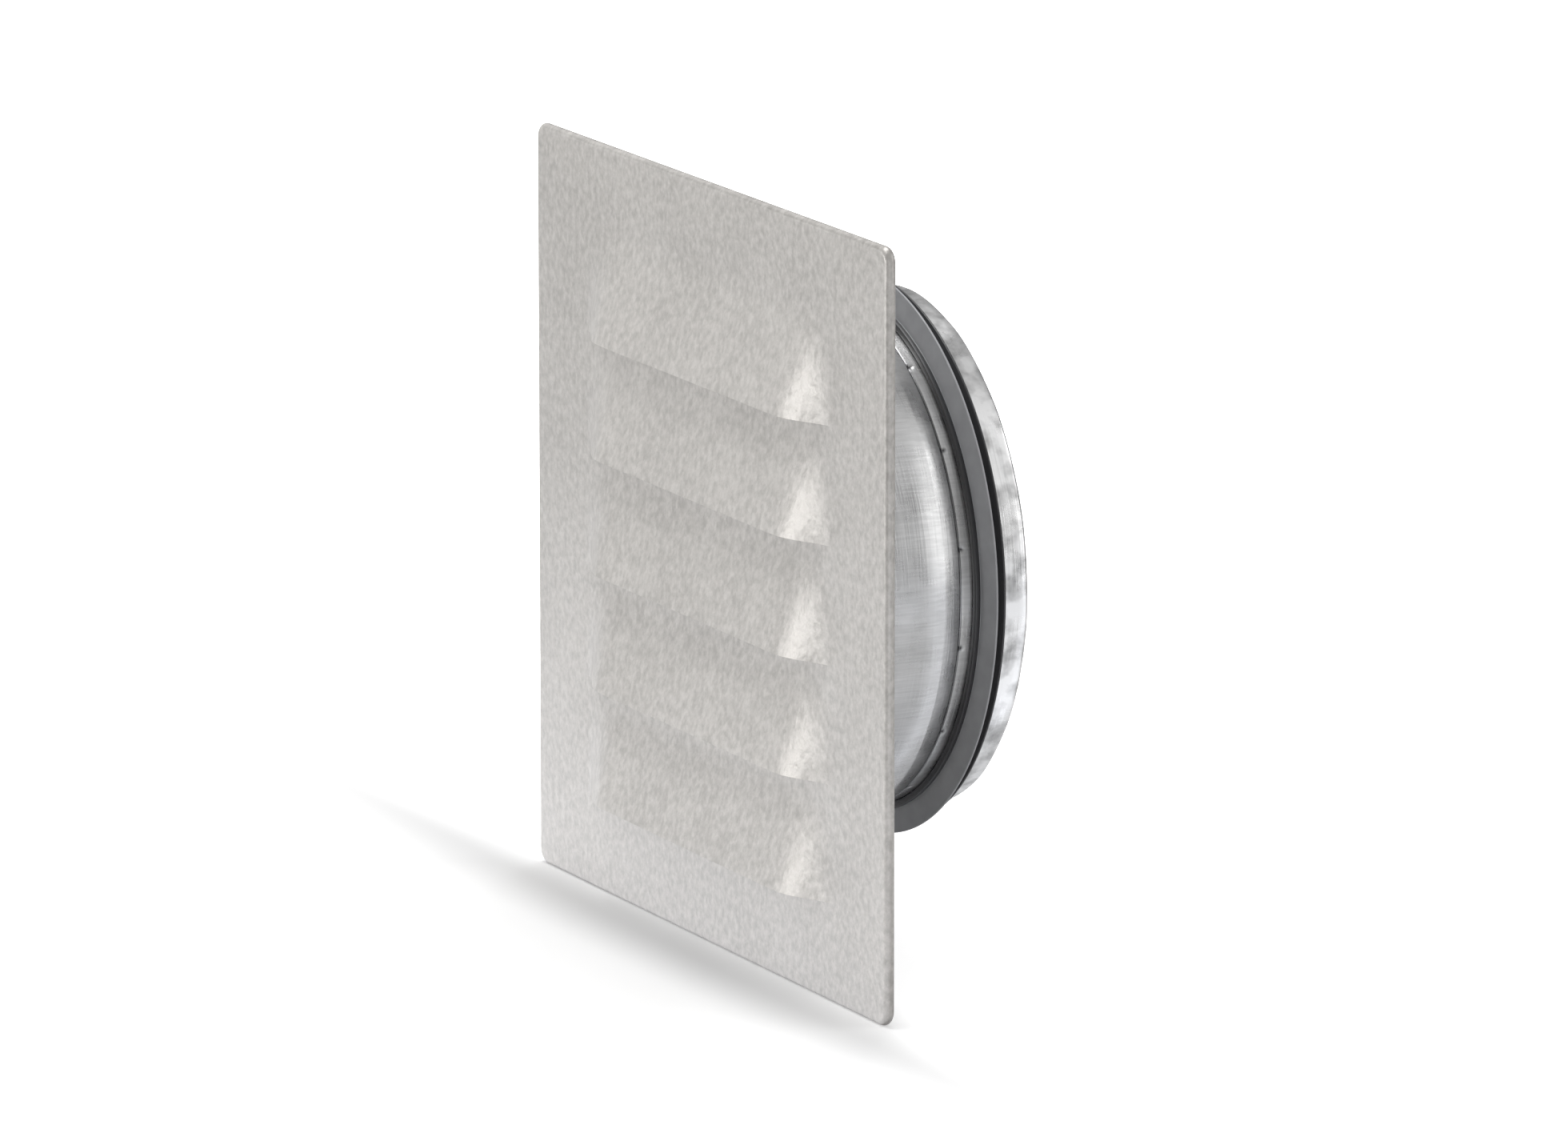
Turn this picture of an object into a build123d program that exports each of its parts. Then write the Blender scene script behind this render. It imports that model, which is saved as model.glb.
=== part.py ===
import os
from math import atan2, cos, degrees, radians, sin, tan

from build123d import *

os.makedirs("parts", exist_ok=True)

# Wall vent grille with a round duct spigot, in millimetres. The louvred face looks along -Y, the
# spigot runs along +Y into the wall, +Z is up. The origin is the centre of the spigot's open end.

# Face plate
plate_size = 146.0  # width and height of the square plate over its hems
plate_sheet = 0.7  # sheet of the louvred plate
back_sheet = 0.7  # sheet of the flat plate held inside the hems
sheet_play = 0.05  # play between sheets that lie on each other
corner_radius = 3.0  # rounding of the plate's flat corners
hem_width = 9.0  # how far each folded hem reaches in from the plate's edge
hem_relief = 3.0  # how far each hem stops short of the corner
back_plate_play = 0.35  # gap between the edge of the back plate and the bend of the hem

# Louvres
louvre_count = 5
louvre_pitch = 22.55  # from one free edge to the next
louvre_rise = 18.8  # from the free edge up to the bend line
louvre_height = 4.7  # how far the free edge stands proud of the plate
louvre_width = 103.0  # over both closed ends
louvre_end = 16.5  # length over which each end curves down to the plate
louvre_corner = 2.0  # tight curve at the foot of each end
louvre_field_z = 0.3  # centre of the louvre field above the plate's centre

# Spigot, from the plate to the open end
spigot_reach = 39.9  # from the wall side of the plate to the open end
spigot_radius = 49.4  # outside of the straight tube
spigot_wall = 0.5  # sheet of the rolled tube
flange_width = 6.0  # foot of the spigot on the back plate
flange_corner = 0.8  # corner taken off the bore where the foot turns out
shoulder_length = 3.15  # from the knee of the tube to the sharp line below it
shoulder_drop = 0.35  # how much narrower the tube is at that line
knee_length = 1.55  # half length of the soft bend at the knee
cone_length = 3.9  # from the sharp line to the crease
crease_width = 1.1
crease_depth = 0.3
seat_drop = 1.1  # how much narrower than the tube the band that carries the gasket is
seat_margin = 1.1  # bare band between the crease and the gasket
clamp_length = 5.1  # folded end that clamps the gasket
fold_corner = 0.6  # corners taken off the folded end

# Gasket, from the folded end back to the plate
foot_thickness = 0.6
foot_play = 0.05  # between the foot and the metal on each side
foot_end_gap = 0.9  # from the end of the foot to the inside of the fold
tail_gap = 0.3  # from the folded end's edge to the thick part of the gasket
tail_length = 1.5
collar_height = 1.3  # thick part of the gasket, above the seat
lip_gap = 1.0  # between the roots of the two lips
lip_tip = 0.45  # thickness of both lips at their free edges
rear_lip_height = 4.1  # free edge above the seat
rear_lip_lean = 1.2  # how far the free edge lies behind the root
rear_lip_root = 1.0
front_lip_height = 5.8
front_lip_lean = 0.75
front_lip_root = 1.1
groove_depth = 0.45
nose_length = 1.2  # rib and groove in front of the front lip
rib_length = 0.7

# Depths along Y
half_size = plate_size / 2
hem_inner = sheet_play + back_sheet / 2
hem_outer = hem_inner + plate_sheet
wall_y = -spigot_reach
front_y = wall_y - 2 * hem_outer
flange_y = front_y + plate_sheet + sheet_play + back_sheet
rear_lip_back = -(clamp_length + tail_gap + tail_length)
rear_lip_front = rear_lip_back - rear_lip_root
front_lip_back = rear_lip_front - lip_gap
front_lip_front = front_lip_back - front_lip_root
nose_y = front_lip_front - nose_length
crease_end = nose_y - seat_margin
cone_end = crease_end - crease_width
cone_start = cone_end - cone_length
knee_y = cone_start - shoulder_length

# Radii about the spigot's axis
bore_radius = spigot_radius - spigot_wall
seat_radius = spigot_radius - seat_drop
seat_bore = seat_radius - spigot_wall
flange_radius = spigot_radius + flange_width
foot_inner = seat_radius + foot_play
foot_outer = foot_inner + foot_thickness
rim_radius = foot_outer + foot_play + spigot_wall
collar_radius = seat_radius + collar_height
rear_lip_radius = seat_radius + rear_lip_height
front_lip_radius = seat_radius + front_lip_height


def wall_plane(y):
    """Upright plane at depth y, seen from the louvred side: X to the right, Z up."""
    return Plane.XZ.offset(-y)


def right_side(line, distance):
    """Corners of the line that runs at a distance to the right of the given one, last one first."""
    corners = [Vector(point) for point in line]
    runs = [(end - start).normalized() for start, end in zip(corners, corners[1:])]
    rights = [Vector(run.Y, -run.X) for run in runs]
    moved = [
        corner + (before + after) * (distance / (1 + before.dot(after)))
        for corner, before, after in zip(corners, rights[:1] + rights, rights + rights[-1:])
    ]
    return moved[::-1]


# Section planes of the four edges: local x runs outward, local y back towards the wall.
edge_planes = [
    Plane(
        origin=(0, front_y, 0),
        x_dir=(sin(radians(turn)), 0, -cos(radians(turn))),
        z_dir=(cos(radians(turn)), 0, sin(radians(turn))),
    )
    for turn in (0, 90, 180, 270)
]

# Heights of the free edges of the louvres, from the lowest up.
free_edges = [
    louvre_field_z - louvre_rise / 2 + (row - (louvre_count - 1) / 2) * louvre_pitch
    for row in range(louvre_count)
]

# Section of one louvre, square to its ramp. The ramp climbs from the free edge at z = 0 back into
# the sheet. In the section, local y points back, so the top of the louvre is at -section_height.
slope = atan2(louvre_height, louvre_rise)
ramp_plane = Plane(
    origin=(0, front_y, 0), x_dir=(1, 0, 0), z_dir=(0, louvre_height, louvre_rise)
)
section_height = louvre_height * cos(slope)
section_root = 3 * plate_sheet  # how far the section reaches behind the face
section_reach = 2 * louvre_rise
straight = louvre_width / 2 - louvre_end

# Each end is a long shallow arc that runs into the tight corner arc.
across = louvre_end - louvre_corner
shallow_radius = (across**2 + section_height**2 - louvre_corner**2) / (
    2 * (section_height - louvre_corner)
)
shallow_turn = degrees(atan2(across, shallow_radius - section_height))

with BuildSketch() as louvre_section:
    with BuildLine():
        top = Line((0, -section_height), (straight, -section_height))
        shallow = JernArc(top @ 1, top % 1, shallow_radius, shallow_turn)
        corner = JernArc(shallow @ 1, shallow % 1, louvre_corner, 90 - shallow_turn)
        Polyline(corner @ 1, (louvre_width / 2, section_root), (0, section_root), top @ 0)
    make_face()
    mirror(about=Plane.YZ)

# Hood of one louvre, cut off at its free edge and at the middle of the sheet
with BuildPart() as louvre_hood:
    with BuildSketch(ramp_plane):
        add(louvre_section.sketch)
    extrude(amount=section_reach, both=True)
    split(bisect_by=Plane.XY, keep=Keep.TOP)
    split(bisect_by=wall_plane(front_y + plate_sheet / 2), keep=Keep.TOP)

# Hollow under one louvre, one sheet thickness inside the hood and open through the back
with BuildPart() as louvre_hollow:
    with BuildSketch(ramp_plane):
        add(louvre_section.sketch)
        offset(amount=-plate_sheet)
    extrude(amount=section_reach, both=True)
    split(bisect_by=Plane.XY, keep=Keep.TOP)

# Louvred plate: flat sheet, louvres lanced and pressed out of it, four hems folded back
with BuildPart() as louvre_plate:
    with BuildSketch(wall_plane(front_y + plate_sheet)):
        RectangleRounded(plate_size, plate_size, corner_radius)
        with PolarLocations(half_size - hem_outer / 2, len(edge_planes)):
            Rectangle(hem_outer, plate_size - 2 * hem_relief, mode=Mode.SUBTRACT)
    extrude(amount=plate_sheet)

    with Locations(*[(0, 0, z) for z in free_edges]):
        add(louvre_hood.part)
    with Locations(*[(0, 0, z) for z in free_edges]):
        add(louvre_hollow.part, mode=Mode.SUBTRACT)

    # Bend of each hem, a half turn of the sheet
    with BuildSketch(*edge_planes):
        with Locations((half_size - hem_outer, hem_outer)):
            Circle(hem_outer)
            Circle(hem_inner, mode=Mode.SUBTRACT)
        with Locations((half_size - 2 * hem_outer, hem_outer)):
            Rectangle(2 * hem_outer, 2 * hem_outer, mode=Mode.SUBTRACT)
    extrude(amount=plate_size / 2 - hem_relief, both=True)

    # Leg of each hem behind the back plate, mitred at its ends
    with BuildSketch(wall_plane(wall_y)):
        with PolarLocations(half_size - (hem_width + hem_outer) / 2, len(edge_planes)):
            Trapezoid(plate_size - 2 * hem_relief, hem_width - hem_outer, 45, rotation=90)
    extrude(amount=plate_sheet)

# Back plate: flat sheet inside the hems, with the hole for the spigot
with BuildPart() as back_plate:
    with BuildSketch(wall_plane(flange_y)):
        side = 2 * (half_size - hem_outer - back_plate_play)
        RectangleRounded(side, side, corner_radius)
        Circle(bore_radius, mode=Mode.SUBTRACT)
    extrude(amount=back_sheet)

# Spigot: one rolled sheet. Its bore side is drawn from the flange to the folded end, and its outer
# side runs one sheet thickness to the right of that. The knee is the one soft bend.
tube_line = [
    (flange_radius, flange_y),
    (bore_radius + flange_corner, flange_y),
    (bore_radius, flange_y + flange_corner),
    (bore_radius, knee_y),
    (bore_radius - shoulder_drop, cone_start),
    (seat_bore, cone_end),
    (seat_bore - crease_depth, cone_end + crease_width / 2),
    (seat_bore, crease_end),
]
fold_corners = [
    (seat_bore, -fold_corner),
    (seat_bore + fold_corner, 0),
    (rim_radius - fold_corner, 0),
    (rim_radius, -fold_corner),
]
fold_edge = (rim_radius, -clamp_length)
square_fold = [(seat_bore, 0), (rim_radius, 0)]
outer_line = right_side([*tube_line, *square_fold, fold_edge], spigot_wall)
outline = [*tube_line, *fold_corners, fold_edge, *outer_line]
knee = tube_line.index((bore_radius, knee_y))
bends = [0.0] * len(outline)
bends[knee] = knee_length / tan(atan2(shoulder_drop, shoulder_length) / 2)
bends[-1 - knee] = bends[knee] + spigot_wall
with BuildPart() as spigot:
    with BuildSketch():
        with BuildLine():
            FilletPolyline(*outline, radius=bends, close=True)
        make_face()
    revolve(axis=Axis.Y)

# Gasket: foot under the folded end, thick collar, and two lips that lean back
with BuildPart() as gasket:
    with BuildSketch():
        with BuildLine():
            Polyline(
                (foot_inner, nose_y),
                (collar_radius, nose_y),
                (collar_radius, nose_y + rib_length),
                (collar_radius - groove_depth, front_lip_front),
                (front_lip_radius, front_lip_front + front_lip_lean),
                (front_lip_radius, front_lip_front + front_lip_lean + lip_tip),
                (collar_radius, front_lip_back),
                (collar_radius, rear_lip_front),
                (rear_lip_radius, rear_lip_front + rear_lip_lean),
                (rear_lip_radius, rear_lip_front + rear_lip_lean + lip_tip),
                (collar_radius, rear_lip_back),
                (foot_outer, -clamp_length - tail_gap),
                (foot_outer, -spigot_wall - foot_end_gap),
                (foot_inner, -spigot_wall - foot_end_gap),
                close=True,
            )
        make_face()
    revolve(axis=Axis.Y)

louvre_plate.part.label = "louvre_plate"
back_plate.part.label = "back_plate"
spigot.part.label = "spigot"
gasket.part.label = "gasket"

export_step(louvre_plate.part, "parts/louvre_plate.step")
export_step(back_plate.part, "parts/back_plate.step")
export_step(spigot.part, "parts/spigot.step")
export_step(gasket.part, "parts/gasket.step")
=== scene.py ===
# %% [markdown]
# # Wall vent grille with a duct spigot
#
# The real thing is four pieces. A square face plate is pressed from one sheet of galvanised steel:
# five louvres are lanced and pushed out of it, and its four sides are folded back as hems. The
# hems hold a flat back plate. A short rolled tube, the spigot, stands on the back plate, and its
# end is folded over the foot of a rubber gasket. This lesson dresses each piece in turn, in the
# same place and size as its solid. All lengths are in metres, and one named value makes a
# millimetre.

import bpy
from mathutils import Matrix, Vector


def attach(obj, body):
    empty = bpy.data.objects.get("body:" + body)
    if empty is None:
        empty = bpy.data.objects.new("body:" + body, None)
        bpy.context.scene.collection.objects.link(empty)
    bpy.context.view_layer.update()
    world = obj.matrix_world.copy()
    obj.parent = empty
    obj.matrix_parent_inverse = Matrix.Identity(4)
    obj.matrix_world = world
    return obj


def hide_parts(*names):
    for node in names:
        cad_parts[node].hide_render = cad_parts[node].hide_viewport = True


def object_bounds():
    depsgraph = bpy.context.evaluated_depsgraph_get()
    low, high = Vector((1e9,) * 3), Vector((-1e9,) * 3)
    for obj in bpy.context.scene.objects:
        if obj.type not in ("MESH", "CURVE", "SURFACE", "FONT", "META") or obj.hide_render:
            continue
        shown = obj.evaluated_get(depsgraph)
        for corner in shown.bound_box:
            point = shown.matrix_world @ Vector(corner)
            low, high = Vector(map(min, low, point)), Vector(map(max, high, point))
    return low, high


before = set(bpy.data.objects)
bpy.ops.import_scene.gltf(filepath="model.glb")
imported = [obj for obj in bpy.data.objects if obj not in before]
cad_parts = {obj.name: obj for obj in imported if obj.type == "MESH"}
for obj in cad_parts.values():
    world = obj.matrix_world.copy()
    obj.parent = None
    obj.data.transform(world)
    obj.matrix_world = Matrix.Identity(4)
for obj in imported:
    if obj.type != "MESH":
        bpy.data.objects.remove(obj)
solid_box = [list(corner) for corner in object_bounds()]
print("solids:", sorted(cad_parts), "box:", solid_box)

# %% [markdown]
# ## Helpers for trees of nodes
#
# Trees of nodes are needed for shapes and for finishes. Both kinds take a node, some settings,
# and values or links for its inputs, so one small function serves both. The others are shorthand
# for the nodes that come up most: arithmetic, a change of range, noise and a mix of two colours.
# Colours are written as they look on a screen (sRGB) and turned to the linear values that the
# renderer works with.

# %% Add nodes, read a colour
from math import atan2, cos, pi, radians, sin, tan

import bpy
from mathutils import Vector

mm = 0.001


def add_node(tree, kind, inputs=None, **settings):
    """Adds a node. inputs maps an input's name or number to a value, or to a socket to link."""
    made = tree.nodes.new(kind)
    for name, value in settings.items():
        setattr(made, name, value)
    for key, value in (inputs or {}).items():
        if isinstance(value, bpy.types.NodeSocket):
            tree.links.new(value, made.inputs[key])
        else:
            made.inputs[key].default_value = value
    return made


def compute(tree, operation, *values):
    """Result of one step of arithmetic."""
    made = add_node(tree, "ShaderNodeMath", dict(enumerate(values)), operation=operation)
    return made.outputs[0]


def compute_vector(tree, operation, *vectors):
    """Result of one step of arithmetic on vectors: a vector, or a value for a length."""
    made = add_node(tree, "ShaderNodeVectorMath", dict(enumerate(vectors)), operation=operation)
    return made.outputs["Value" if operation in ("LENGTH", "DISTANCE") else "Vector"]


def remap(tree, value, old, new=(0.0, 1.0), curve="LINEAR"):
    """The value moved from the old range to the new one, and held at the ends of both."""
    inputs = {"Value": value, "From Min": old[0], "From Max": old[1]}
    inputs.update({"To Min": new[0], "To Max": new[1]})
    return add_node(tree, "ShaderNodeMapRange", inputs, interpolation_type=curve).outputs[0]


def noise(tree, vector, size, detail, roughness=0.5):
    """Noise whose largest forms have about the given size."""
    inputs = {"Vector": vector, "Scale": 1 / size, "Detail": detail, "Roughness": roughness}
    return add_node(tree, "ShaderNodeTexNoise", inputs).outputs["Fac"]


def stretch(tree, vector, scale):
    """Coordinates scaled by axis. A scale below one draws a pattern out along that axis."""
    return add_node(tree, "ShaderNodeMapping", {"Vector": vector, "Scale": scale}).outputs[0]


def mix(tree, share, first, second, blend="MIX"):
    """Mix of two colours. The share is that of the second."""
    inputs = {0: share, 6: first, 7: second}
    made = add_node(tree, "ShaderNodeMix", inputs, data_type="RGBA", blend_type=blend)
    return made.outputs[2]


def linear(code):
    """Linear colour of an sRGB hex code."""
    parts = [int(code[i : i + 2], 16) / 255 for i in (1, 3, 5)]
    return [*(p / 12.92 if p <= 0.04045 else ((p + 0.055) / 1.055) ** 2.4 for p in parts), 1.0]


print("mid grey:", linear("#808080"))

# %% [markdown]
# ## Camera
#
# The plate is seen from its right side, turned far away, from a little above. A long lens from
# two metres keeps its edges nearly parallel. The camera points at its target by itself: the
# direction between the two is turned into a rotation.

# %% Place the camera
scene = bpy.context.scene
target = Vector((0.031901, -0.0421, 0.0071832))
sensor_width = 36  # of the camera, in millimetres
lens_length = 275.75  # in millimetres


def aim(item):
    """Turns a camera or a lamp so that it faces the target."""
    item.rotation_euler = (target - item.location).to_track_quat("-Z", "Y").to_euler()


camera = bpy.data.objects.new("camera", bpy.data.cameras.new("camera"))
scene.collection.objects.link(camera)
camera.location = (1.96998, -1.02899, 0.484355)
aim(camera)
camera.data.sensor_width = sensor_width
camera.data.lens = lens_length
bpy.context.scene.camera = camera
print("camera distance:", (target - camera.location).length)

# %% [markdown]
# ## Lamps
#
# Bare metal shows what stands round it more than its own colour. The world gives an even light.
# The rest comes from soft boxes, which are rectangles of light. One is almost overhead and a
# little behind, so the shadow falls short in front of the plate, and one is high in front. Four
# stand on the left, where the curved ends of the louvres face. Four stand on the right and
# behind, and the tube mirrors them. The last is near the camera and fills the side of the hem.
# Three boxes throw a narrow beam of 60 degrees, and need far less power for the same brightness.

# %% Set up lamps and world
scene.view_settings.view_transform = "Standard"
narrow = 60  # beam of a narrow box, in degrees
world_strength = 0.43


def soft_box(name, place, size, watts, spread=180):
    """A rectangular lamp that faces the middle of the object. spread is its beam in degrees."""
    lamp = bpy.data.lights.new(name, "AREA")
    lamp.shape = "RECTANGLE"
    lamp.size, lamp.size_y = size
    lamp.energy = watts
    lamp.spread = radians(spread)
    holder = bpy.data.objects.new(name, lamp)
    holder.location = place
    aim(holder)
    scene.collection.objects.link(holder)


soft_box("overhead_box", (-0.25, 0.06, 0.95), (0.35, 0.35), 4.4)
soft_box("front_box", (-0.35, -0.45, 1.25), (0.4, 0.4), 6.2)
soft_box("left_box", (-0.4, -1.08, 0.07), (0.6, 0.22), 0.52, narrow)
soft_box("low_box", (-1.05, -0.6, 0.12), (0.6, 0.35), 0.6)
soft_box("side_box", (-1.2, -0.12, 0.1), (0.5, 0.5), 0.7)
soft_box("edge_box", (-1.1, -0.05, 0.55), (0.6, 0.25), 0.6)
soft_box("back_box", (0.68, 0.6, 0.16), (0.32, 0.9), 0.22, narrow)
soft_box("lean_box", (0.42, 0.74, 0.48), (0.3, 0.4), 0.09, narrow)
soft_box("right_box", (0.95, 0.42, 0.1), (0.3, 0.45), 0.05)
soft_box("high_box", (0.5, 0.6, 0.95), (0.8, 0.7), 0.9)
soft_box("near_box", (1.25, -0.7, 0.3), (0.5, 0.8), 1.9)

world = bpy.data.worlds.new("studio")
scene.world = world
world.use_nodes = True
sky = world.node_tree
sky.nodes.clear()
ray = add_node(sky, "ShaderNodeLightPath").outputs
plain_white = linear("#FFFFFF")
light = add_node(sky, "ShaderNodeBackground", {"Color": plain_white, "Strength": world_strength})
white = add_node(sky, "ShaderNodeBackground", {"Color": plain_white, "Strength": 1.0})
seen = add_node(
    sky,
    "ShaderNodeMixShader",
    {"Fac": ray["Is Camera Ray"], 1: light.outputs[0], 2: white.outputs[0]},
)
add_node(sky, "ShaderNodeOutputWorld", {"Surface": seen.outputs[0]})

# %% [markdown]
# ## Floor: what the camera sees
#
# The floor is white paper. Away from the object it also glows, but only in what the camera sees,
# so the background is white and the object gets no more light from it. The glow starts at some
# distance from a spot in front of the plate, where the shadow lies, and it steps up a little in
# front of the face and again behind it.

# %% Make the glow that the camera sees
def new_material(name):
    """An empty material and its tree."""
    material = bpy.data.materials.new(name)
    material.use_nodes = True
    material.node_tree.nodes.clear()
    return material, material.node_tree


def away_from(x, y):
    """Distance of a floor point from the spot at x, y."""
    return compute_vector(tree, "DISTANCE", here, (x, y, floor_z))


floor_z = solid_box[0][2]
floor_material, tree = new_material("white_paper_sweep")
ray = add_node(tree, "ShaderNodeLightPath").outputs
here = add_node(tree, "ShaderNodeTexCoord").outputs["Object"]
floor_y = add_node(tree, "ShaderNodeSeparateXYZ", {0: here}).outputs["Y"]

far = remap(tree, away_from(-30 * mm, -130 * mm), (0.09, 0.4), (0.0, 0.9))
before = remap(tree, floor_y, (-48 * mm, -66 * mm), (0.0, 0.3), "SMOOTHSTEP")
behind = remap(tree, floor_y, (-50 * mm, -30 * mm), (0.0, 0.6), "SMOOTHSTEP")
white_glow = compute(tree, "ADD", far, compute(tree, "ADD", before, behind))
seen_glow = compute(tree, "MULTIPLY", white_glow, ray["Is Camera Ray"])
print("floor at", floor_z)

# %% [markdown]
# ## Floor: what the metal mirrors
#
# A second glow is there for mirrored rays alone. The louvres mirror a bright patch of floor in
# front of them and the strip at the foot of the plate. The tube mirrors a stripe that runs off to
# the right and back, and a patch on the right. This glow is a trace bluer than the paper.

# %% Make the glow that the metal mirrors, and lay the floor
stripe_start = (14 * mm, -14 * mm, 0.0)
stripe_bearing = radians(37)
floor_reach = 6.0

patch = remap(tree, away_from(-100 * mm, -250 * mm), (0.18, 0.38), (0.55, 0.0))
foot = remap(tree, floor_y, (-0.16, -0.05), (0.0, 0.95))
in_front = compute(tree, "LESS_THAN", floor_y, -42 * mm)
front_glow = compute(tree, "ADD", patch, compute(tree, "MULTIPLY", foot, in_front))

from_start = add_node(
    tree, "ShaderNodeSeparateXYZ", {0: compute_vector(tree, "SUBTRACT", here, stripe_start)}
).outputs
bearing = compute(tree, "ARCTAN2", from_start["Y"], from_start["X"])
off_line = compute(tree, "ABSOLUTE", compute(tree, "SUBTRACT", bearing, stripe_bearing))
stripe = remap(tree, off_line, (0.06, 0.17), (0.85, 0.0), "SMOOTHSTEP")
beside = remap(tree, away_from(430 * mm, -100 * mm), (0.1, 0.28), (2.0, 0.0))
right_glow = compute(tree, "ADD", stripe, beside)

all_mirrored = compute(tree, "ADD", front_glow, right_glow)
mirrored_glow = compute(tree, "MULTIPLY", all_mirrored, ray["Is Glossy Ray"])
glow = compute(tree, "ADD", seen_glow, mirrored_glow)
cast = mix(tree, ray["Is Glossy Ray"], linear("#FFFFFF"), linear("#ECEFF7"))
shine = add_node(tree, "ShaderNodeEmission", {"Color": cast, "Strength": glow})
paper = add_node(tree, "ShaderNodeBsdfDiffuse", {"Color": linear("#D4D4D4")})
both = add_node(tree, "ShaderNodeAddShader", {0: paper.outputs[0], 1: shine.outputs[0]})
add_node(tree, "ShaderNodeOutputMaterial", {"Surface": both.outputs[0]})

floor_mesh = bpy.data.meshes.new("floor")
floor_corners = [(-1, -1), (1, -1), (1, 1), (-1, 1)]
floor_mesh.from_pydata(
    [(x * floor_reach, y * floor_reach, floor_z) for x, y in floor_corners], [], [(0, 1, 2, 3)]
)
floor_mesh.materials.append(floor_material)
floor = bpy.data.objects.new("floor", floor_mesh)
scene.collection.objects.link(floor)
print("floor material:", len(tree.nodes), "nodes")

# %% [markdown]
# ## Finish: hot dip galvanised sheet
#
# The sheet is steel that ran through molten zinc and was then skin-passed between rollers. The
# zinc has no large crystals here. What the eye sees is a pale, slightly warm grey with a fine
# mottle and a faint orange peel, which blurs every reflection. The mottle is about 1.4 mm across
# and the peel about 1.6 mm, and a broad cloud of 22 mm shifts the mottle a little. All are noise
# on Object coordinates, so they stay fixed to the metal. Zinc dulls to a grey skin, so the finish
# is only partly metallic.

# %% Make the galvanised sheet
def finish_metal(tree, colour, metallic, roughness, height, strength, relief_depth):
    """Ends a metal's tree with its surface, its relief and the output."""
    relief = add_node(
        tree, "ShaderNodeBump", {"Height": height, "Strength": strength, "Distance": relief_depth}
    )
    inputs = {"Base Color": colour, "Metallic": metallic, "Roughness": roughness}
    inputs["Normal"] = relief.outputs[0]
    metal = add_node(tree, "ShaderNodeBsdfPrincipled", inputs)
    add_node(tree, "ShaderNodeOutputMaterial", {"Surface": metal.outputs[0]})


galvanised, tree = new_material("galvanised_steel_skin_passed")
here = add_node(tree, "ShaderNodeTexCoord").outputs["Object"]
rolled = stretch(tree, here, (1.0, 1.0, 0.8))
mottle = noise(tree, rolled, 1.4 * mm, 3.0, 0.65)
cloud = noise(tree, here, 22 * mm, 2.0)
peel = noise(tree, rolled, 1.6 * mm, 2.0)
cloud_share = 0.2
blend = compute(tree, "MULTIPLY_ADD", cloud, cloud_share, mottle)
shade = remap(tree, blend, (0.43, 0.77))
tone = mix(tree, shade, linear("#A19E9A"), linear("#BCB9B5"))
rough = remap(tree, mottle, (0.3, 0.7), (0.38, 0.48))
finish_metal(tree, tone, 0.42, rough, peel, 0.9, 0.14 * mm)
print("made", galvanised.name)

# %% [markdown]
# ## Finish: bright rolled spigot sheet
#
# The tube is the same zinc coated steel, but rolled, drawn and turned on a former, so it is
# smoother and shinier. Fine scratches run along the tube, and turning leaves marks that go round
# it. Noise that is drawn out in one direction makes both. Real scratches are hundredths of a
# millimetre wide, so they are drawn about ten times coarser to show. Dull streaks follow the
# scratches.
#
# The folded rim, from 5.4 mm to the open end, is burnished in patches by the rollers. The crease
# and the punch marks are painted darker, as painted shade where they are hollow.

# %% Make the spigot sheet
rim_fade = (-5.4 * mm, -5.2 * mm)  # where the burnished rim begins, along Y
crease_middle = -13.65 * mm
crease_reach = 0.24 * mm  # painted shade on each side of the middle
crease_shade_share = 0.75  # how strongly the painted shade darkens the crease

bright, tree = new_material("galvanised_steel_rolled_bright")
here = add_node(tree, "ShaderNodeTexCoord").outputs["Object"]
along = add_node(tree, "ShaderNodeSeparateXYZ", {0: here}).outputs["Y"]
scratch = noise(tree, stretch(tree, here, (1.0, 0.04, 1.0)), 0.5 * mm, 3.0, 0.65)
turned = noise(tree, stretch(tree, here, (0.03, 1.0, 0.03)), 0.45 * mm, 2.0, 0.6)
cloud = noise(tree, here, 7 * mm, 3.0)
tone = mix(tree, cloud, linear("#ACACAC"), linear("#CECECE"))
streak = remap(tree, scratch, (0.35, 0.65), (0.86, 1.0))
streaked = mix(tree, 1.0, tone, streak, "MULTIPLY")

pressed_spots = remap(tree, noise(tree, here, 5 * mm, 3.0), (0.35, 0.6))
rim_tone = mix(tree, pressed_spots, linear("#A0A0A0"), linear("#E4E4E4"))
burnished = mix(tree, remap(tree, along, rim_fade), streaked, rim_tone)

# Painted shade: a dark colour mixed into the crease and the punch marks, where they are hollow.
dent = add_node(tree, "ShaderNodeAttribute", attribute_name="punch_mark").outputs["Fac"]
in_crease = compute(tree, "COMPARE", along, crease_middle, crease_reach)
painted_shade_share = compute(tree, "MULTIPLY_ADD", in_crease, crease_shade_share, dent)
tone_with_painted_shade = mix(tree, painted_shade_share, burnished, linear("#3C3C3E"))

rough = remap(tree, cloud, (0.3, 0.7), (0.22, 0.34))
height = compute(tree, "ADD", scratch, turned)
finish_metal(tree, tone_with_painted_shade, 1.0, rough, height, 0.35, 0.06 * mm)
print("made", bright.name)

# %% [markdown]
# ## Finish: EPDM rubber
#
# The gasket is EPDM, a black synthetic rubber. It is extruded in lengths and joined to a ring.
# Its skin is nearly black with a soft sheen, and fine lines from the die go round it. The front
# lip is painted pale as painted light, where its face meets the lamps. The nose in front of it and
# the gap between the lips keep the black, which also stands for painted shade there.

# %% Make the rubber
lip_edge = -9.45 * mm  # middle of the band of painted light, along Y
lip_reach = 0.62 * mm  # painted light on each side of the middle

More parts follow.
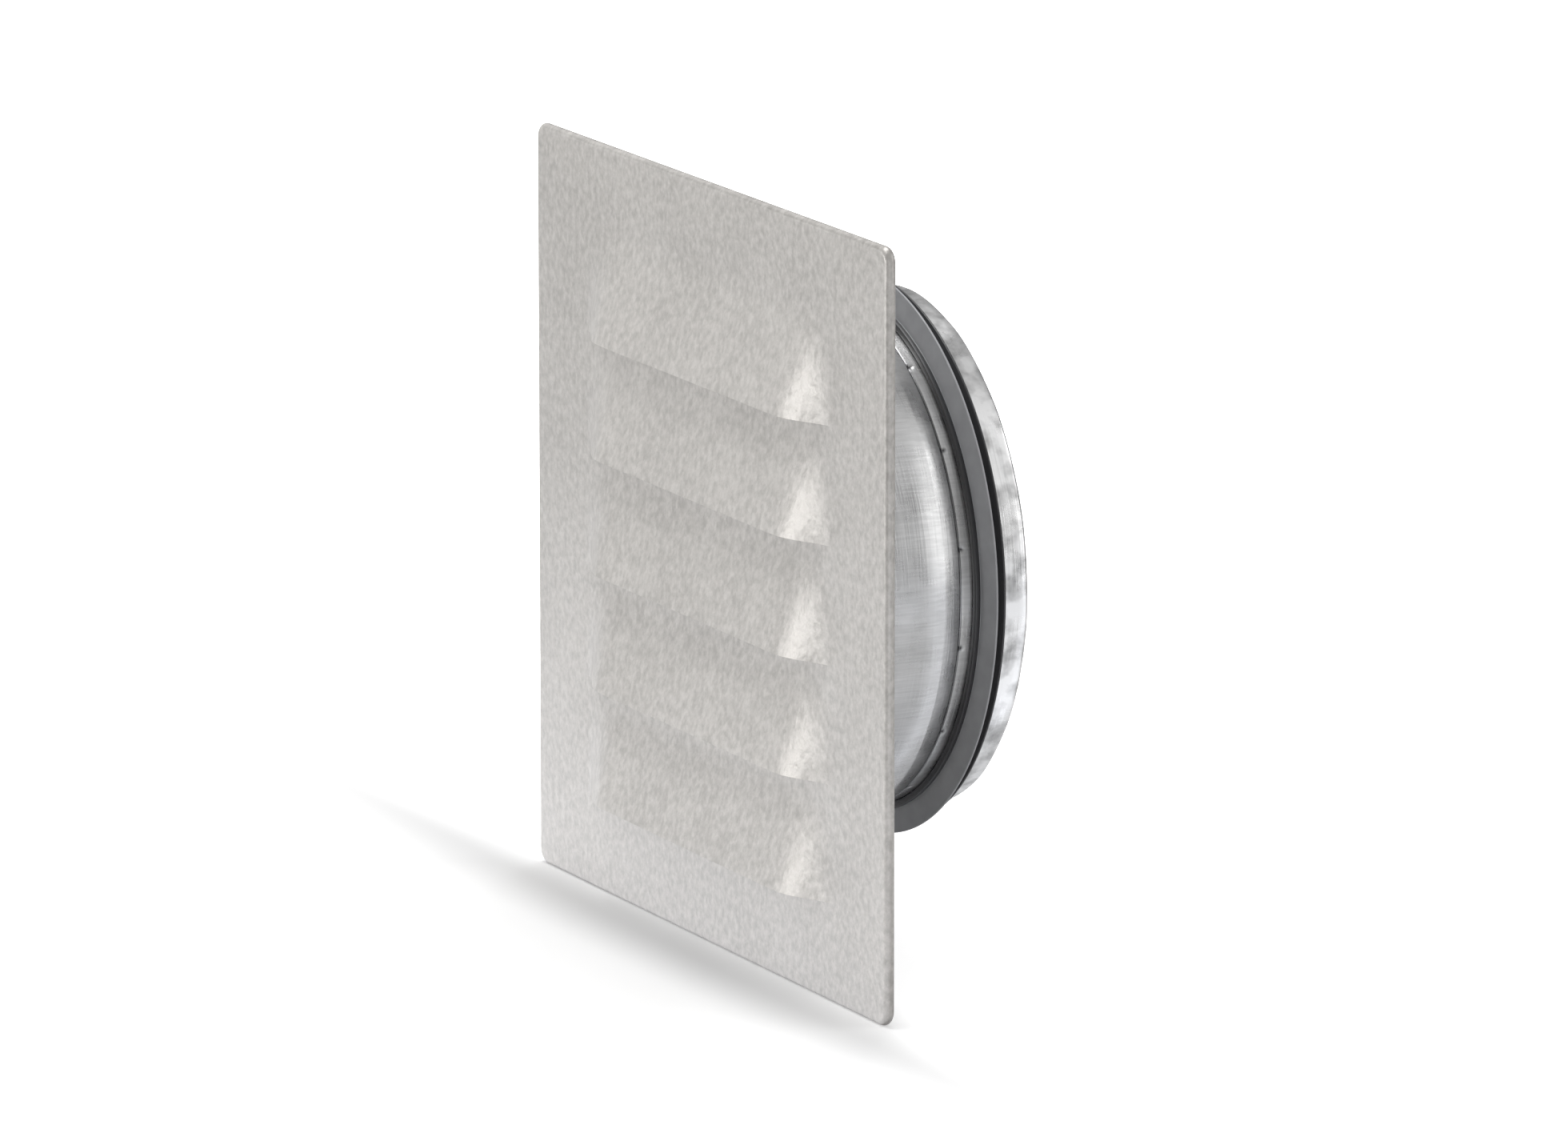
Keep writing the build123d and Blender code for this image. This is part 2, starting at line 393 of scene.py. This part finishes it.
rubber, tree = new_material("epdm_rubber_extruded")
here = add_node(tree, "ShaderNodeTexCoord").outputs["Object"]
along = add_node(tree, "ShaderNodeSeparateXYZ", {0: here}).outputs["Y"]
# Painted light: the front lip gets a pale grey, and the rest stays black, which also stands for
# painted shade.
painted_lip_light = mix(tree, noise(tree, here, 4 * mm, 4.0), linear("#88898C"), linear("#A0A1A4"))
on_lip = compute(tree, "COMPARE", along, lip_edge, lip_reach)
lit_lip_and_shaded_rest = mix(tree, on_lip, linear("#333335"), painted_lip_light)
lines = noise(tree, stretch(tree, here, (0.05, 1.0, 0.05)), 0.4 * mm, 1.0)
relief = add_node(
    tree, "ShaderNodeBump", {"Height": lines, "Strength": 0.2, "Distance": 0.05 * mm}
)
skin = add_node(
    tree,
    "ShaderNodeBsdfPrincipled",
    {"Base Color": lit_lip_and_shaded_rest, "Roughness": 0.42, "IOR": 1.5, "Normal": relief.outputs[0]},
)
add_node(tree, "ShaderNodeOutputMaterial", {"Surface": skin.outputs[0]})
print("made", rubber.name)

# %% [markdown]
# ## Louvred sheet: its sizes
#
# These are the sizes that the solids were built from, apart from the last, which shapes the ends.
# A louvre is lanced along its free edge and pressed out. Along that edge it is level in the
# middle and falls to the flat sheet at each end in one eased, S-shaped line.

# %% Sizes of the sheet
plate_size = 146.0 * mm
plate_sheet = 0.7 * mm
hem_width = 9.0 * mm
hem_relief = 3.0 * mm
hem_outer = 1.1 * mm
front_y = -42.1 * mm

louvre_count = 5
louvre_pitch = 22.55 * mm
louvre_rise = 18.8 * mm
louvre_height = 4.7 * mm
louvre_width = 103.0 * mm
louvre_end = 16.5 * mm
louvre_field_z = 0.3 * mm
louvre_ease = 1.28  # above one, the fall starts gently and is steepest further out

slope = atan2(louvre_height, louvre_rise)
first_edge = louvre_field_z - louvre_rise / 2 - (louvre_count - 1) / 2 * louvre_pitch
print("lowest free edge at", first_edge, "slope in degrees", slope * 180 / pi)

# %% [markdown]
# ## Louvred sheet: the line of a free edge
#
# The free edge is one line, the same for all louvres, so it is worked out once. Its points hold
# the place across the sheet and how far the edge stands proud there. The fall at each end is half
# a wave of a cosine, so it leaves the level part and meets the flat sheet without a corner, as a
# punch leaves it.

# %% Draw the free edge
level_steps = 6
fall_steps = 32

full_height = louvre_height * cos(slope)
straight = louvre_width / 2 - louvre_end
half = [(straight * k / level_steps, full_height) for k in range(level_steps)]
for k in range(fall_steps + 1):
    turn = pi * (k / fall_steps) ** louvre_ease
    across = straight + louvre_end * k / fall_steps
    half.append((across, full_height * (1 + cos(turn)) / 2))
right_half = [(x, s / cos(slope), 0) for x, s in half]
free_edge = [(-x, s, z) for x, s, z in right_half[:0:-1]] + right_half
edge_mesh = bpy.data.meshes.new("free_edge")
edge_mesh.from_pydata(free_edge, [(k, k + 1) for k in range(len(free_edge) - 1)], [])
edge_line = bpy.data.objects.new("free_edge", edge_mesh)
scene.collection.objects.link(edge_line)
print("free edge:", len(free_edge), "points, half width", half[-1][0])

# %% [markdown]
# ## Louvred sheet: outline and hems
#
# The flat sheet is a square whose sides are set in by the bend of the hems and whose corners are
# rounded. A hem is a strip: a half turn, and a leg that lies behind the back plate with its ends
# cut at 45 degrees. At the corner the sheet is gathered, so the half turn goes on round it as a
# fan. One hem with the fan at its end is drawn here, and four are placed by the rule below.
# Everything is drawn lying down, with the louvred face up, and turned upright last.

# %% Draw the outline and one hem
bend_steps = 14
corner_steps = 6

side = plate_size / 2
flat_side = side - hem_outer
hem_end = side - hem_relief
bend_reach = hem_relief - hem_outer
corner_turns = [radians(90 * k / corner_steps) for k in range(corner_steps + 1)]
quarter = [(flat_side, -hem_end)] + [
    (hem_end + bend_reach * cos(turn), hem_end + bend_reach * sin(turn))
    for turn in corner_turns[:-1]
]
outline = []
for _ in range(4):
    outline += quarter
    quarter = [(-y, x) for x, y in quarter]
outline_mesh = bpy.data.meshes.new("outline")
outline_mesh.from_pydata(
    [(x, y, 0) for x, y in outline], [(k, (k + 1) % len(outline)) for k in range(len(outline))], []
)

# Each point of the section: how far out, how deep, and half the length of the strip there.
section = []
for k in range(bend_steps + 1):
    turn = pi * k / bend_steps
    section.append((flat_side + hem_outer * sin(turn), hem_outer * (1 - cos(turn)), hem_end))
section.append((side - hem_width, 2 * hem_outer, hem_end - (hem_width - hem_outer)))
spots = [(out, end * length, -deep) for out, deep, length in section for end in (-1, 1)]
strips = [(2 * k, 2 * k + 2, 2 * k + 3, 2 * k + 1) for k in range(len(section) - 1)]

fan_section = [(out - hem_end, deep) for out, deep, _ in section[:-1]] + [(0.0, 2 * hem_outer)]
first_spot = len(spots)
for turn in corner_turns:
    spots += [(hem_end + r * cos(turn), hem_end + r * sin(turn), -deep) for r, deep in fan_section]
for k in range(corner_steps):
    near = first_spot + k * len(fan_section)
    next_one = near + len(fan_section)
    for n in range(len(fan_section) - 1):
        strips.append((near + n, near + n + 1, next_one + n + 1, next_one + n))
hem_mesh = bpy.data.meshes.new("hem")
hem_mesh.from_pydata(spots, [], strips)
hem_strip = bpy.data.objects.new("hem", hem_mesh)
scene.collection.objects.link(hem_strip)
print("outline:", len(outline), "points; hem:", len(hem_mesh.polygons), "faces")

# %% [markdown]
# ## Louvred sheet: the rule that presses the louvres
#
# A tree of geometry nodes builds the sheet. A grid becomes one louvre. Each of its columns takes
# its place across and its full height from the free edge. The rows climb by even steps, and along
# them the height falls by the slope of the ramp until it meets the flat. A smooth maximum rounds
# that bend as a press tool does. What is left of the height is kept as a share of the whole, and
# each column takes that share of its own height. The grid is then set on a row of points, one for
# each louvre.

# %% Build the tree: the louvres
def new_rule(name, inputs, output):
    """A tree of geometry nodes, and the sockets of its named inputs."""
    group = bpy.data.node_groups.new(name, "GeometryNodeTree")
    for label, kind in inputs.items():
        group.interface.new_socket(label, in_out="INPUT", socket_type="NodeSocket" + kind)
    group.interface.new_socket(output, in_out="OUTPUT", socket_type="NodeSocketGeometry")
    return group, add_node(group, "NodeGroupInput").outputs


press, given = new_rule(
    "pressed_louvres",
    {
        "Outline": "Geometry",
        "Free edge": "Object",
        "Hem": "Object",
        "Columns": "Int",
        "Rows": "Int",
        "Louvres": "Int",
        "Pitch": "Float",
        "Slope": "Float",
        "Height": "Float",
        "First edge": "Float",
        "Half width": "Float",
        "Bend": "Float",
        "Depth": "Float",
        "Finish": "Material",
    },
    "Sheet",
)
weld = 0.02 * mm

grid = add_node(
    press, "GeometryNodeMeshGrid", {"Vertices X": given["Columns"], "Vertices Y": given["Rows"]}
)
index = add_node(press, "GeometryNodeInputIndex").outputs[0]
column = compute(press, "FLOOR", compute(press, "DIVIDE", index, given["Rows"]))
row = compute(press, "MODULO", index, given["Rows"])
last_row = compute(press, "SUBTRACT", given["Rows"], 1.0)
up = compute(press, "MULTIPLY", compute(press, "DIVIDE", row, last_row), given["Pitch"])

edge_info = add_node(press, "GeometryNodeObjectInfo", {"Object": given["Free edge"]})
place = add_node(press, "GeometryNodeInputPosition").outputs[0]
sampled = add_node(
    press,
    "GeometryNodeSampleIndex",
    {"Geometry": edge_info.outputs["Geometry"], "Value": place, "Index": column},
    data_type="FLOAT_VECTOR",
)
edge = add_node(press, "ShaderNodeSeparateXYZ", {0: sampled.outputs[0]}).outputs
fall = compute(press, "MULTIPLY", up, given["Slope"])
ramp = compute(press, "SUBTRACT", given["Height"], fall)
eased = compute(press, "SMOOTH_MAX", ramp, 0.0, given["Bend"])
left_over = compute(press, "DIVIDE", eased, given["Height"])
height = compute(press, "MULTIPLY", edge["Y"], left_over)
spot = add_node(press, "ShaderNodeCombineXYZ", {"X": edge["X"], "Y": up, "Z": height})
louvre = add_node(
    press,
    "GeometryNodeSetPosition",
    {"Geometry": grid.outputs["Mesh"], "Position": spot.outputs[0]},
)

start = add_node(press, "ShaderNodeCombineXYZ", {"Y": given["First edge"]})
stride = add_node(press, "ShaderNodeCombineXYZ", {"Y": given["Pitch"]})
stations = add_node(
    press,
    "GeometryNodeMeshLine",
    {"Count": given["Louvres"], "Start Location": start.outputs[0], "Offset": stride.outputs[0]},
)
placed = add_node(
    press,
    "GeometryNodeInstanceOnPoints",
    {"Points": stations.outputs[0], "Instance": louvre.outputs[0]},
)
field = add_node(press, "GeometryNodeRealizeInstances", {0: placed.outputs[0]})
welded = add_node(
    press, "GeometryNodeMergeByDistance", {"Geometry": field.outputs[0], "Distance": weld}
)
print("tree so far:", len(press.nodes), "nodes")

# %% [markdown]
# ## Louvred sheet: the flat round the louvres
#
# The flat part has to meet the louvres point by point. The border of their field is found by two
# signs: an edge there has one face only, and it lies at the sides or along the top. The lowest
# free edge has one face too, but it stays open. The border and the outline are turned into curves
# and filled together, which gives one flat face with a hole.

# %% Build the tree: the flat
spread = add_node(press, "ShaderNodeSeparateXYZ", {0: place}).outputs
sideways = compute(press, "ABSOLUTE", spread["X"])
at_side = compute(press, "COMPARE", sideways, given["Half width"], weld)
field_rise = compute(press, "MULTIPLY", given["Louvres"], given["Pitch"])
top = compute(press, "ADD", field_rise, given["First edge"])
at_top = compute(press, "COMPARE", spread["Y"], top, weld)
at_border = compute(press, "MAXIMUM", at_side, at_top)
face_count = add_node(press, "GeometryNodeInputMeshEdgeNeighbors").outputs[0]
lone = compute(press, "COMPARE", face_count, 1.0, 0.1)
border = compute(press, "MULTIPLY", at_border, lone)
hole = add_node(
    press, "GeometryNodeMeshToCurve", {"Mesh": welded.outputs[0], "Selection": border}
)
closed_hole = add_node(
    press, "GeometryNodeSetSplineCyclic", {"Geometry": hole.outputs[0], "Cyclic": True}
)
rim = add_node(press, "GeometryNodeMeshToCurve", {"Mesh": given["Outline"]})
loops = add_node(press, "GeometryNodeJoinGeometry")
for loop in (closed_hole, rim):
    press.links.new(loop.outputs[0], loops.inputs[0])
flat = add_node(press, "GeometryNodeFillCurve", {"Curve": loops.outputs[0]})
print("tree so far:", len(press.nodes), "nodes")

# %% [markdown]
# ## Louvred sheet: hems, and upright
#
# The hem is set four times on one point in the middle, each a quarter turn on. Louvres, flat and
# hems are joined and welded, and the whole is turned upright, moved to the depth of the face and
# given its finish.

# %% Build the tree: the hems and the end
side_count = 4
centre = add_node(press, "GeometryNodeMeshLine", {"Count": side_count, "Offset": (0, 0, 0)})
quarter_turn = compute(press, "MULTIPLY", index, 2 * pi / side_count)
heading = add_node(press, "ShaderNodeCombineXYZ", {"Z": quarter_turn})
hem_info = add_node(press, "GeometryNodeObjectInfo", {"Object": given["Hem"]})
hems = add_node(
    press,
    "GeometryNodeInstanceOnPoints",
    {
        "Points": centre.outputs[0],
        "Instance": hem_info.outputs["Geometry"],
        "Rotation": heading.outputs[0],
    },
)

everything = add_node(press, "GeometryNodeJoinGeometry")
for part in (welded, flat, hems):
    press.links.new(part.outputs[0], everything.inputs[0])
real = add_node(press, "GeometryNodeRealizeInstances", {0: everything.outputs[0]})
sewn = add_node(
    press, "GeometryNodeMergeByDistance", {"Geometry": real.outputs[0], "Distance": weld}
)
hang = add_node(press, "ShaderNodeCombineXYZ", {"Y": given["Depth"]})
stand = add_node(
    press,
    "GeometryNodeTransform",
    {"Geometry": sewn.outputs[0], "Rotation": (pi / 2, 0, 0), "Translation": hang.outputs[0]},
)
done = add_node(
    press, "GeometryNodeSetMaterial", {"Geometry": stand.outputs[0], "Material": given["Finish"]}
)
add_node(press, "NodeGroupOutput", {0: done.outputs[0]})
print("tree:", len(press.nodes), "nodes")

# %% [markdown]
# ## Helpers that finish a piece
#
# A tree runs as a modifier. Its inputs are set by their identifiers, and the result is kept as a
# plain mesh. Solidify adds a sheet's thickness behind the face, evenly along the bends. The edges
# where a surface turns sharply are marked so that they stay crisp under smooth shading.

# %% Run a tree, thicken, smooth
def keep_plain(made):
    """Turns the object's evaluated shape into its plain mesh and removes its modifiers."""
    evaluated = made.evaluated_get(bpy.context.evaluated_depsgraph_get())
    plain = bpy.data.meshes.new_from_object(evaluated)
    made.modifiers.clear()
    made.data = plain
    return made


def run_tree(name, mesh, group, values):
    """Runs a geometry tree on a mesh and returns an object with the result as a plain mesh."""
    made = bpy.data.objects.new(name, mesh)
    scene.collection.objects.link(made)
    modifier = made.modifiers.new("rule", "NODES")
    modifier.node_group = group
    for item in group.interface.items_tree:
        if item.in_out == "INPUT" and item.name in values:
            modifier[item.identifier] = values[item.name]
    return keep_plain(made)


def thicken(made, thickness):
    """Adds a sheet's thickness on the side that its faces turn away from."""
    modifier = made.modifiers.new("thickness", "SOLIDIFY")
    modifier.thickness = thickness
    modifier.offset = -1
    modifier.use_even_offset = True
    return keep_plain(made)


def smooth(made, degrees):
    """Smooth shading, with every edge that turns by more than the angle kept crisp."""
    made.data.shade_smooth()
    made.data.set_sharp_from_angle(angle=radians(degrees))
    made.data.calc_loop_triangles()
    print(made.name, len(made.data.loop_triangles), "triangles")


print("ready for pieces in", scene.name)

# %% [markdown]
# ## Louvred sheet: press it
#
# The rule gets the outline as its mesh and all sizes by name. The helper line and the helper hem
# are then no longer needed.

# %% Press the sheet
louvre_rows = 51
bend_softness = 1.3 * mm
sheet_crisp = 28  # degrees

louvred_sheet = run_tree(
    "louvred_sheet",
    outline_mesh,
    press,
    {
        "Free edge": edge_line,
        "Hem": hem_strip,
        "Columns": len(free_edge),
        "Rows": louvre_rows,
        "Louvres": louvre_count,
        "Pitch": louvre_pitch,
        "Slope": louvre_height / louvre_rise,
        "Height": louvre_height,
        "First edge": first_edge,
        "Half width": free_edge[-1][0],
        "Bend": bend_softness,
        "Depth": front_y,
        "Finish": galvanised,
    },
)
for helper in (edge_line, hem_strip):
    bpy.data.objects.remove(helper)
smooth(thicken(louvred_sheet, plate_sheet), sheet_crisp)
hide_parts("louvre_plate")
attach(louvred_sheet, "root")

# %% [markdown]
# ## Back plate
#
# The back plate is a flat square with a round hole, and its solid already has that shape, so the
# solid stays and only takes the finish.

# %% Finish the back plate
back_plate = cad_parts["back_plate"]
back_plate.data.materials.clear()
back_plate.data.materials.append(galvanised)
print("back plate:", [material.name for material in back_plate.data.materials])

# %% [markdown]
# ## Helpers for turned pieces
#
# Spigot and gasket are both turned: one line, written as points of radius and depth, goes round
# the Y axis. Each corner of the line has its own rounding, because a roller leaves none sharp and
# neither does a rubber die.

# %% Round a line, turn a line
def rounded(corners, steps):
    """The line through (radius, depth, rounding) corners, with an arc at each rounded one."""
    spots = [Vector((radius, depth)) for radius, depth, _ in corners]
    points = []
    for k, corner in enumerate(spots):
        rounding = corners[k][2]
        if rounding == 0:
            points.append(corner)
            continue
        before = (spots[k - 1] - corner).normalized()
        after = (spots[(k + 1) % len(spots)] - corner).normalized()
        half_angle = before.angle(after) / 2
        centre = corner + (before + after).normalized() * (rounding / sin(half_angle))
        first = corner + before * (rounding / tan(half_angle)) - centre
        last = corner + after * (rounding / tan(half_angle)) - centre
        turn = first.angle(last)
        for step in range(steps + 1):
            part = step / steps
            points.append(
                centre
                + first * (sin((1 - part) * turn) / sin(turn))
                + last * (sin(part * turn) / sin(turn))
            )
    return points


def turned_mesh(name, line, angles, closed=False):
    """Mesh of a line of (radius, depth) points, one strip for each angle about the Y axis."""
    mesh = bpy.data.meshes.new(name)
    count = len(line)
    spots = [(radius * cos(a), depth, radius * sin(a)) for a in angles for radius, depth in line]
    strips = []
    for k in range(len(angles)):
        near, next_one = k * count, (k + 1) % len(angles) * count
        for n in range(count if closed else count - 1):
            m = (n + 1) % count
            strips.append((near + n, next_one + n, next_one + m, near + m))
    mesh.from_pydata(spots, [], strips)
    return mesh


print("helpers:", rounded.__name__, turned_mesh.__name__)

# %% [markdown]
# ## Spigot: a rolled line
#
# The tube of sheet runs from its flange along the bore to a soft knee, narrows over the shoulder
# and the taper, dips in a shallow crease, carries the gasket on its seat, and is folded outward
# and back at the open end. The line is then cut into short pieces near the punch marks, and into
# long ones elsewhere, so that the marks come out round without a heavy mesh.

# %% Draw the line of the spigot
bore_radius = 48.9 * mm
spigot_wall = 0.5 * mm
flange_radius = 55.4 * mm
flange_y = -40.65 * mm
knee_y = -20.45 * mm
cone_start = -17.3 * mm
cone_end = -14.0 * mm
crease_end = -13.4 * mm
crease_depth = 0.12 * mm
shoulder_drop = 0.35 * mm
seat_bore = 47.8 * mm
rim_radius = 49.5 * mm
clamp_length = 5.1 * mm
fold_rounding = 0.84 * mm
arc_steps = 6
mark_band = (-14.2 * mm, -12.0 * mm)  # depths between which the punch marks lie
short_piece = 0.18 * mm
long_piece = 1.6 * mm

rolled_line = rounded(
    [
        (flange_radius, flange_y, 0),
        (bore_radius, flange_y, 0.8 * mm),
        (bore_radius, knee_y, 28 * mm),
        (bore_radius - shoulder_drop, cone_start, 4 * mm),
        (seat_bore, cone_end, 0.4 * mm),
        (seat_bore - crease_depth, (cone_end + crease_end) / 2, 0.3 * mm),
        (seat_bore, crease_end, 0.6 * mm),
        (seat_bore, 0, fold_rounding),
        (rim_radius, 0, fold_rounding),
        (rim_radius, -clamp_length, 0),
    ],
    arc_steps,
)
spigot_line = []
for start, end in zip(rolled_line, rolled_line[1:]):
    depths = (start[1], (start[1] + end[1]) / 2)
    at_marks = any(mark_band[0] < depth < mark_band[1] for depth in depths)
    piece = short_piece if at_marks else long_piece
    pieces = max(1, round((end - start).length / piece))
    spigot_line += [start.lerp(end, k / pieces) for k in range(pieces)]
spigot_line.append(rolled_line[-1])
print("spigot line:", len(spigot_line), "points")

# %% [markdown]
# ## Spigot: the steps round it
#
# The turning takes small steps across each of the sixteen punch marks and wide ones between them,
# for the same reason.

# %% Choose the angles
mark_count = 16
mark_turn = radians(11.25)  # place of the first mark
mark_reach = radians(1.35)  # small steps on each side of a mark
small_steps = 10
wide_steps = 9

sector = 2 * pi / mark_count
angles = []
for mark in range(mark_count):
    middle = mark_turn + mark * sector
    angles += [middle + mark_reach * (2 * k / small_steps - 1) for k in range(small_steps)]
    between = sector - 2 * mark_reach
    angles += [middle + mark_reach + between * k / wide_steps for k in range(wide_steps)]
print("steps round the spigot:", len(angles))

# %% [markdown]
# ## Spigot: sixteen punch marks
#
# After the tube was seated on its former, a punch went round beside the foot of the taper and
# left sixteen small dents. Geometry nodes press them: for each point, the angle to the nearest
# mark and the distance along the tube give how far it lies from the middle of that mark, and a
# smooth step turns that into the depth of the dent. The dents are kept as an attribute as well, so
# that the finish can paint shade into them.

# %% Build the tree: the marks
punch, given = new_rule(
    "punch_marks",
    {
        "Tube": "Geometry",
        "Marks": "Int",
        "First mark": "Float",
        "Depth of ring": "Float",
        "Radius of ring": "Float",
        "Mark radius": "Float",
        "Dent": "Float",
        "Rim wave": "Float",
        "Leaf inside": "Float",
        "Leaf outside": "Float",
        "Leaf edge": "Float",
        "Finish": "Material",
    },
    "Tube",
)
place = add_node(punch, "GeometryNodeInputPosition").outputs[0]
spread = add_node(punch, "ShaderNodeSeparateXYZ", {0: place}).outputs
angle = compute(punch, "ARCTAN2", spread["Z"], spread["X"])
onward = compute(punch, "SUBTRACT", angle, given["First mark"])
pitch = compute(punch, "DIVIDE", 2 * pi, given["Marks"])
half_pitch = compute(punch, "MULTIPLY", pitch, 0.5)
shifted = compute(punch, "ADD", onward, half_pitch)
cell = compute(punch, "FLOORED_MODULO", shifted, pitch)
around = compute(
    punch, "MULTIPLY", compute(punch, "SUBTRACT", cell, half_pitch), given["Radius of ring"]
)
aside = compute(punch, "SUBTRACT", spread["Y"], given["Depth of ring"])
offset = add_node(punch, "ShaderNodeCombineXYZ", {"X": around, "Y": aside}).outputs[0]
distance = compute_vector(punch, "LENGTH", offset)
dent = remap(punch, distance, (0.0, given["Mark radius"]), (1.0, 0.0), "SMOOTHSTEP")
kept = add_node(
    punch,
    "GeometryNodeStoreNamedAttribute",
    {"Name": "punch_mark", "Geometry": given["Tube"], "Value": dent},
    data_type="FLOAT",
)
print("tree so far:", len(punch.nodes), "nodes")

# %% [markdown]
# ## Spigot: the waves of the rim
#
# The folded leaf of the rim waves slightly where the rollers gripped it. A sine with as many
# waves as there are marks and some noise move its points outward. The wave fades from the outside
# of the leaf to the inside, and it stops at the leaf's edge.

# %% Build the tree: the rim and the end
grip_share = 0.3
wave_size = 9 * mm

ripple = noise(punch, place, wave_size, 1.0)
radial = compute_vector(punch, "MULTIPLY", place, (1, 0, 1))
radius = compute_vector(punch, "LENGTH", radial)
on_leaf = remap(punch, radius, (given["Leaf inside"], given["Leaf outside"]))
beyond = compute(punch, "GREATER_THAN", spread["Y"], given["Leaf edge"])
at_rim = compute(punch, "MULTIPLY", on_leaf, beyond)
grip = compute(punch, "SINE", compute(punch, "MULTIPLY", onward, given["Marks"]))
uneven = compute(punch, "MULTIPLY_ADD", grip, grip_share, ripple)
swell = compute(punch, "MULTIPLY", uneven, given["Rim wave"])
wave = compute(punch, "MULTIPLY", swell, at_rim)
inward = compute(punch, "MULTIPLY", dent, given["Dent"])
total = compute(punch, "SUBTRACT", wave, inward)
unit = compute_vector(punch, "NORMALIZE", radial)
shift = add_node(punch, "ShaderNodeVectorMath", {0: unit, "Scale": total}, operation="SCALE")
pressed = add_node(
    punch, "GeometryNodeSetPosition", {"Geometry": kept.outputs[0], "Offset": shift.outputs[0]}
)
real = add_node(punch, "GeometryNodeRealizeInstances", {0: pressed.outputs[0]})
done = add_node(
    punch, "GeometryNodeSetMaterial", {"Geometry": real.outputs[0], "Material": given["Finish"]}
)
add_node(punch, "NodeGroupOutput", {0: done.outputs[0]})
print("tree:", len(punch.nodes), "nodes")

# %% [markdown]
# ## Spigot: roll it
#
# The line is turned, the rule presses marks and waves into it, and the sheet gets its thickness.

# %% Roll the spigot
mark_ring = -13.1 * mm
mark_radius = 0.85 * mm
mark_depth = 0.18 * mm
rim_wave = 0.35 * mm
leaf_inside = 48.6 * mm
leaf_margin = 0.1 * mm
turned_crisp = 40  # degrees, for the spigot and the gasket

spigot = run_tree(
    "rolled_spigot",
    turned_mesh("rolled_spigot", spigot_line, angles),
    punch,
    {
        "Marks": mark_count,
        "First mark": mark_turn,
        "Depth of ring": mark_ring,
        "Radius of ring": seat_bore,
        "Mark radius": mark_radius,
        "Dent": mark_depth,
        "Rim wave": rim_wave,
        "Leaf inside": leaf_inside,
        "Leaf outside": rim_radius,
        "Leaf edge": -clamp_length - leaf_margin,
        "Finish": bright,
    },
)
smooth(thicken(spigot, spigot_wall), turned_crisp)
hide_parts("spigot")
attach(spigot, "root")

# %% [markdown]
# ## Gasket
#
# The gasket is one rubber ring with a closed section: a thin foot under the folded end, a thick
# collar, and two lips that lean back and seal in the duct. The section is drawn once and turned
# about the axis in even steps.

# %% Turn the gasket
foot_inner = 48.35 * mm
foot_outer = 48.95 * mm
collar_radius = 49.6 * mm
groove_depth = 0.45 * mm
front_lip_radius = 54.1 * mm
front_lip_y = -9.25 * mm  # front of the lip at its free edge
rear_lip_radius = 52.4 * mm
rear_lip_y = -6.7 * mm
lip_tip = 0.45 * mm
foot_end = -1.4 * mm
gasket_arc_steps = 3
gasket_steps = 256

gasket_section = rounded(
    [
        (foot_inner, -11.2 * mm, 0.1 * mm),
        (collar_radius, -11.2 * mm, 0.2 * mm),
        (collar_radius, -10.5 * mm, 0.15 * mm),
        (collar_radius - groove_depth, -10.0 * mm, 0.2 * mm),
        (front_lip_radius, front_lip_y, 0.18 * mm),
        (front_lip_radius, front_lip_y + lip_tip, 0.18 * mm),
        (collar_radius, -8.9 * mm, 0.3 * mm),
        (collar_radius, -7.9 * mm, 0.3 * mm),
        (rear_lip_radius, rear_lip_y, 0.18 * mm),
        (rear_lip_radius, rear_lip_y + lip_tip, 0.18 * mm),
        (collar_radius, -6.9 * mm, 0.3 * mm),
        (foot_outer, -5.4 * mm, 0.1 * mm),
        (foot_outer, foot_end, 0.1 * mm),
        (foot_inner, foot_end, 0.1 * mm),
    ],
    gasket_arc_steps,
)
even = [2 * pi * k / gasket_steps for k in range(gasket_steps)]
gasket_mesh = turned_mesh("lip_gasket", gasket_section[::-1], even, closed=True)
gasket_mesh.materials.append(rubber)
gasket = bpy.data.objects.new("lip_gasket", gasket_mesh)
scene.collection.objects.link(gasket)
smooth(gasket, turned_crisp)
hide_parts("gasket")
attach(gasket, "root")
